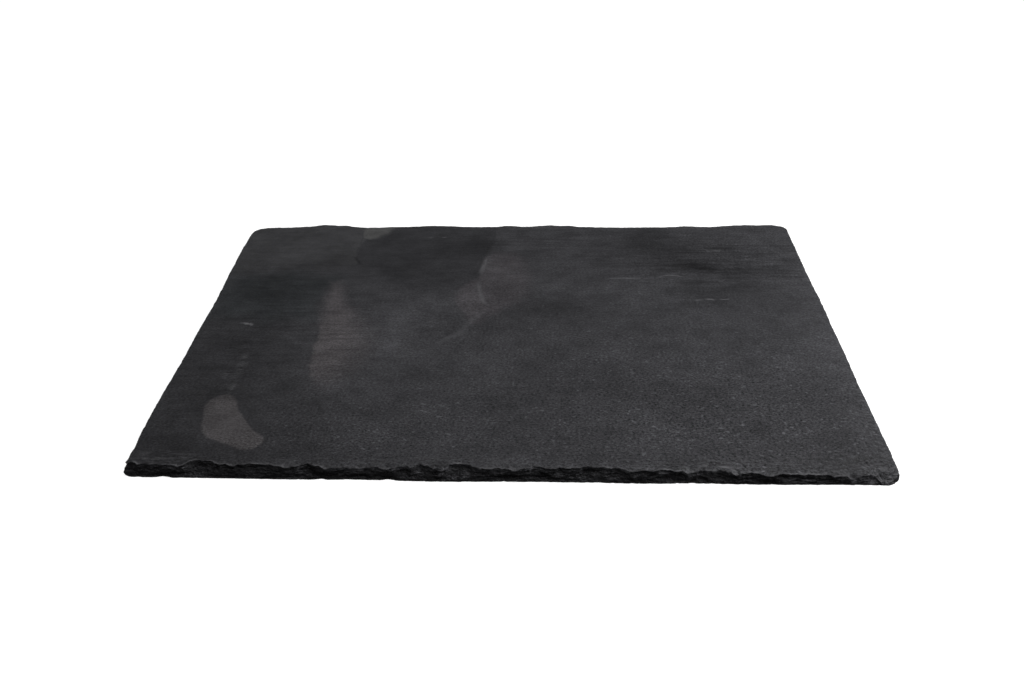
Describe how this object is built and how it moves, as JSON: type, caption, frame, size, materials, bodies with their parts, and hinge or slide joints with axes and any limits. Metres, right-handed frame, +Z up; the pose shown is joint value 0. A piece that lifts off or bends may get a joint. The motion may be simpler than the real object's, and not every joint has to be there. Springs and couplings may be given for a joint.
{
  "type": "slate slab",
  "caption": "Thin rectangular slate board with hand-broken layered edges, a split upper face with shallow steps, and a flat underside.",
  "frame": {"origin": "middle of the underside's bounding box", "axes": "+X along the long edge, +Y from the front edge to the back edge, +Z up from the underside"},
  "size_m": [0.3034, 0.2034, 0.007],
  "materials": {
    "slate": "matt split slate, dark grey, with faint warm patches"
  },
  "bodies": {
    "root": {"slate_slab": "slate"}
  },
  "joints": []
}
